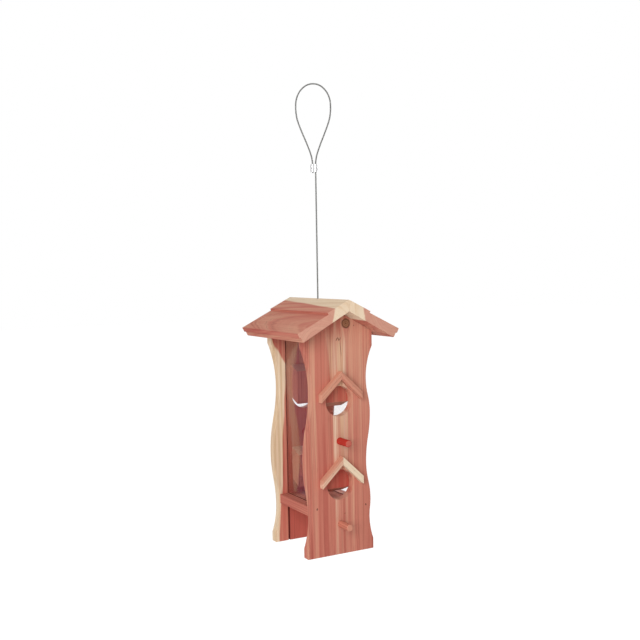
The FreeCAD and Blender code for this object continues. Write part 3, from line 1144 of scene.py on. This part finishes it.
def brad_places():
    """Places of the front's brad heads by name, with the way that each faces."""
    low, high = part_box("front_panel")
    places = {"floor_brads": [(Vector((x, low.y, FEET_Z + z)), -1) for x, z in FLOOR_BRADS]}
    gables = places["gable_brads"] = []
    baffles = places["baffle_brads"] = []
    for station in STATIONS:
        low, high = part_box("gable_front_%s_right" % station)
        drop = math.tan(GABLE_SLOPE)
        plumb = high.z - low.z - (high.x - low.x) * drop
        z = high.z - GABLE_BRAD_X * drop - plumb / 2
        gables += [(Vector((x, low.y, z)), -1) for x in (-GABLE_BRAD_X, GABLE_BRAD_X)]
        low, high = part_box("baffle_front_%s" % station)
        z = high.z - BAFFLE_BRAD_DROP
        baffles += [(Vector((x, high.y, z)), 1) for x in (-BAFFLE_BRAD_X, BAFFLE_BRAD_X)]
    return places


class FEEDER_OT_brads(bpy.types.Operator):
    """Heads of the brads that fix the floor, the strips and the baffles"""

    bl_idname = "feeder.brads"
    bl_label = "Brads"

    def execute(self, context):
        steel = metal_material(
            "brad steel", (0.10, 0.08, 0.07), (0.20, 0.17, 0.15), (0.45, 0.65), (1500, 1500, 1500)
        )
        pattern = brad_pattern()
        for name, places in brad_places().items():
            places = places + [(Vector((p.x, -p.y, p.z)), -way) for p, way in places]
            heads = []
            for place, way in places:
                head = pattern.copy()
                head.data = pattern.data.copy()
                head.location = place + Vector((0, way * (BRAD_PROUD - BRAD_HEAD[1] / 2), 0))
                head.rotation_euler.z = 0 if way < 0 else math.pi
                context.scene.collection.objects.link(head)
                heads.append(head)
            take(heads[0])
            for head in heads:
                head.select_set(True)
            place_origin()
            bpy.ops.object.join()
            piece = context.object
            piece.name = name
            piece.data.materials.append(steel)
            bpy.ops.object.shade_smooth_by_angle(angle=BRAD_SMOOTH_WITHIN)
            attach(piece, "feeder")
        bpy.data.objects.remove(pattern)
        return {"FINISHED"}


# Camera as read from the photograph: place in metres, angles in degrees, lens and sensor in millimetres
CAMERA_PLACE = (-0.8273, -1.4880, -0.3259)
CAMERA_YAW = 29.18
CAMERA_PITCH = 3.33
CAMERA_ROLL = 1.0
CAMERA_LENS = 52.49
CAMERA_SENSOR = 36.0

# Studio round the feeder, in metres
AIM_HEIGHT = 0.25
AIM = Vector((0, 0, FEET_Z + AIM_HEIGHT))
FLOOR_SIZE = 30.0
FLOOR_GLOW_SHARE = 0.9
FLOOR_GLOW = 1.1
LAMP_SIZE = 1.6
LAMP_PLACES = {"key": (-1.53, -1.475, 0.02), "rear": (1.53, 1.475, 0.02)}
# A tinted card seen only in gloss and glass: a painted reflection
CARD_PLACE = (-1.15, 1.95, -0.80)
CARD_SIZE = 1.5
REFLECTION_CARD_COLOUR = (0.26, 0.11, 0.20)


def white_for_the_eye(net):
    """1 for rays that show the background straight, in gloss or through a pane."""
    paths = net.add("ShaderNodeLightPath").outputs
    seen = net.math("MAXIMUM", paths["Is Camera Ray"], paths["Is Glossy Ray"])
    return net.math("MAXIMUM", seen, paths["Is Transmission Ray"])


def matt(net, colour):
    """Shader of a plain matt surface."""
    return net.add("ShaderNodeBsdfDiffuse", {"Color": colour})


def add_floor(look):
    """Pale floor that the eye sees as white."""
    bpy.ops.mesh.primitive_plane_add(size=FLOOR_SIZE, location=(0, 0, FEET_Z - look.floor_drop))
    floor = bpy.context.object
    floor.name = "floor"
    place_origin()
    material, net = new_material("floor")
    share = net.times(white_for_the_eye(net), FLOOR_GLOW_SHARE)
    plain = matt(net, look.floor)
    glow = net.add("ShaderNodeEmission", {"Strength": FLOOR_GLOW})
    net.show(net.add("ShaderNodeMixShader", {0: share, 1: plain.outputs[0], 2: glow.outputs[0]}))
    floor.data.materials.append(material)


def add_world(look):
    """Even light from all around, white where the eye sees it."""
    world = bpy.data.worlds.new("studio")
    world.use_nodes = True
    bpy.context.scene.world = world
    net = NodeNet(world.node_tree)
    strength = net.span(white_for_the_eye(net), 0.0, 1.0, look.fill, 1.0)
    sky = net.add("ShaderNodeBackground", {"Color": (1.0, 1.0, 1.0), "Strength": strength})
    net.show(sky, "ShaderNodeOutputWorld")


def add_lamps(look):
    """Round soft lamps to the left of the front and to the right of the rear."""
    for name, place in LAMP_PLACES.items():
        bpy.ops.object.light_add(type="AREA", location=place)
        lamp = bpy.context.object
        lamp.name = name
        lamp.data.shape = "DISK"
        lamp.data.size = LAMP_SIZE
        lamp.data.energy = look.key
        lamp.rotation_euler = (AIM - lamp.location).to_track_quat("-Z", "Y").to_euler()
        lamp.visible_camera = False


def add_reflection_card():
    """Tinted card beside the picture, which only gloss and glass show: a painted reflection that darkens and
    tints the panes.
    """
    bpy.ops.mesh.primitive_plane_add(size=CARD_SIZE, location=CARD_PLACE)
    card = bpy.context.object
    card.name = "card"
    card.rotation_euler = (AIM - card.location).to_track_quat("Z", "Y").to_euler()
    place_origin()
    material, net = new_material("card")
    net.show(matt(net, REFLECTION_CARD_COLOUR))
    card.data.materials.append(material)
    card.visible_camera = False
    card.visible_diffuse = False
    card.visible_shadow = False


def camera_turn(yaw, pitch, roll):
    """Camera turned from looking along +Y by these angles."""
    level = Matrix.Rotation(math.radians(-yaw), 3, "Z") @ Matrix.Rotation(math.radians(90 - pitch), 3, "X")
    return (level @ Matrix.Rotation(math.radians(-roll), 3, "Z")).to_euler()


def add_camera():
    """Camera at the photograph's place and angle."""
    turn = camera_turn(CAMERA_YAW, CAMERA_PITCH, CAMERA_ROLL)
    bpy.ops.object.camera_add(location=CAMERA_PLACE, rotation=turn)
    camera = bpy.context.object
    camera.data.sensor_width = CAMERA_SENSOR
    camera.data.lens = CAMERA_LENS
    bpy.context.scene.camera = camera


class FEEDER_OT_stage(bpy.types.Operator):
    """Pale floor, soft studio light and the camera"""

    bl_idname = "feeder.stage"
    bl_label = "Stage"

    def execute(self, context):
        look = context.scene.feeder_stage
        deselect_all()
        add_floor(look)
        add_world(look)
        add_lamps(look)
        add_reflection_card()
        add_camera()
        context.scene.view_settings.view_transform = "Standard"
        return {"FINISHED"}


PIECES = (
    FEEDER_OT_hanger_cable,
    FEEDER_OT_panels,
    FEEDER_OT_floor_board,
    FEEDER_OT_roof_boards,
    FEEDER_OT_gable_strips,
    FEEDER_OT_perches,
    FEEDER_OT_baffles,
    FEEDER_OT_hanger_rod,
    FEEDER_OT_panes,
    FEEDER_OT_brads,
    FEEDER_OT_stage,
)
GROUPS = {"feeder_sizes": FeederSizes, "feeder_cedar": CedarColours, "feeder_stage": StageLook}


class FEEDER_PT_sidebar(bpy.types.Panel):
    """Sizes, colours and pieces of the feeder"""

    bl_idname = "FEEDER_PT_sidebar"
    bl_label = "Bird feeder"
    bl_space_type = "VIEW_3D"
    bl_region_type = "UI"
    bl_category = "Feeder"

    def draw(self, context):
        for group in GROUPS:
            box = self.layout.box()
            settings = getattr(context.scene, group)
            for name in settings.bl_rna.properties.keys():
                if name not in ("rna_type", "name"):
                    box.prop(settings, name)
        for piece in PIECES:
            self.layout.operator(piece.bl_idname)


def register():
    for name, group in GROUPS.items():
        bpy.utils.register_class(group)
        setattr(bpy.types.Scene, name, PointerProperty(type=group))
    for piece in PIECES:
        bpy.utils.register_class(piece)
    bpy.utils.register_class(FEEDER_PT_sidebar)


def unregister():
    bpy.utils.unregister_class(FEEDER_PT_sidebar)
    for piece in reversed(PIECES):
        bpy.utils.unregister_class(piece)
    for name, group in GROUPS.items():
        delattr(bpy.types.Scene, name)
        bpy.utils.unregister_class(group)


def main():
    register()
    bpy.ops.feeder.hanger_cable()
    bpy.ops.feeder.panels()
    bpy.ops.feeder.floor_board()
    bpy.ops.feeder.roof_boards()
    bpy.ops.feeder.gable_strips()
    bpy.ops.feeder.perches()
    bpy.ops.feeder.baffles()
    bpy.ops.feeder.hanger_rod()
    bpy.ops.feeder.panes()
    bpy.ops.feeder.brads()
    bpy.ops.feeder.stage()


if __name__ == "__main__":
    main()
